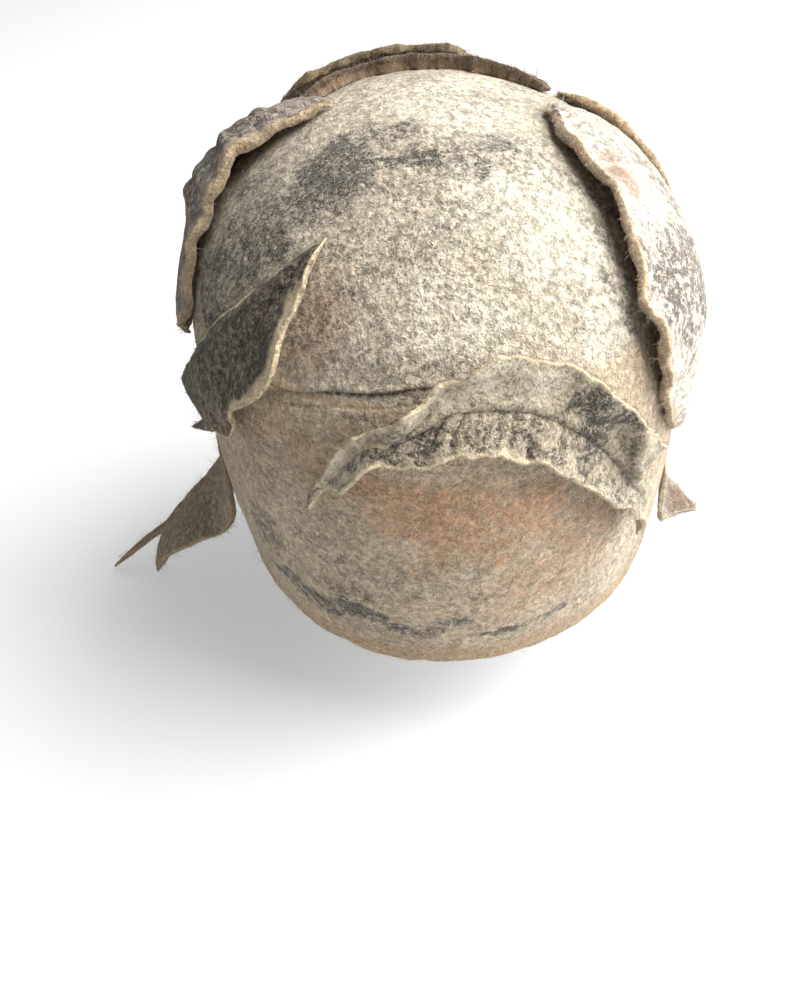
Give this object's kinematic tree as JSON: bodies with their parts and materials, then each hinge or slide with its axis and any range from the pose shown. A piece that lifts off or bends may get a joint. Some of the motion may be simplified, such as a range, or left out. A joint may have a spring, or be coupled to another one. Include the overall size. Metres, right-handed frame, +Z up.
{
  "type": "felt hat",
  "caption": "Deep close-fitting felt hat with raised, pointed and ruffled felt leaves laid round its crown and leaf ends that hang below the rim at one side.",
  "frame": {"origin": "middle of the head opening, level with the rim at the nape and sides", "axes": "+Z up through the top of the crown, the wearer faces +Y, +X toward the wearer's right"},
  "size_m": [0.242, 0.2075, 0.2102],
  "materials": {
    "crown_felt": "nubby mottled cream and grey wool felt",
    "ruffle_felt": "olive beige felt with dark grey patches and a cream cut edge",
    "dark_leaf_felt": "dark grey felt with a thick cream cut edge",
    "left_flap_felt": "grey beige felt with a cream underside",
    "right_flap_felt": "off-white felt with brown and grey spots",
    "brown_felt": "mottled dark brown felt, fuzzy edge",
    "olive_felt": "olive beige felt, wavy edge",
    "russet_felt": "cream felt with a red-brown edge",
    "tail_felt": "grey brown felt",
    "tail_edge_felt": "light brown felt",
    "tip_felt": "grey white felt with a brown point"
  },
  "bodies": {
    "root": {"crown": "crown_felt", "back_ruffle": "ruffle_felt", "left_leaf": "dark_leaf_felt", "left_flap": "left_flap_felt", "right_flap": "right_flap_felt", "top_flap": "brown_felt", "front_left_leaf": "olive_felt", "front_right_leaf": "russet_felt", "left_tail_long": "tail_felt", "left_tail_short": "tail_edge_felt", "right_tip": "tip_felt"}
  },
  "joints": []
}
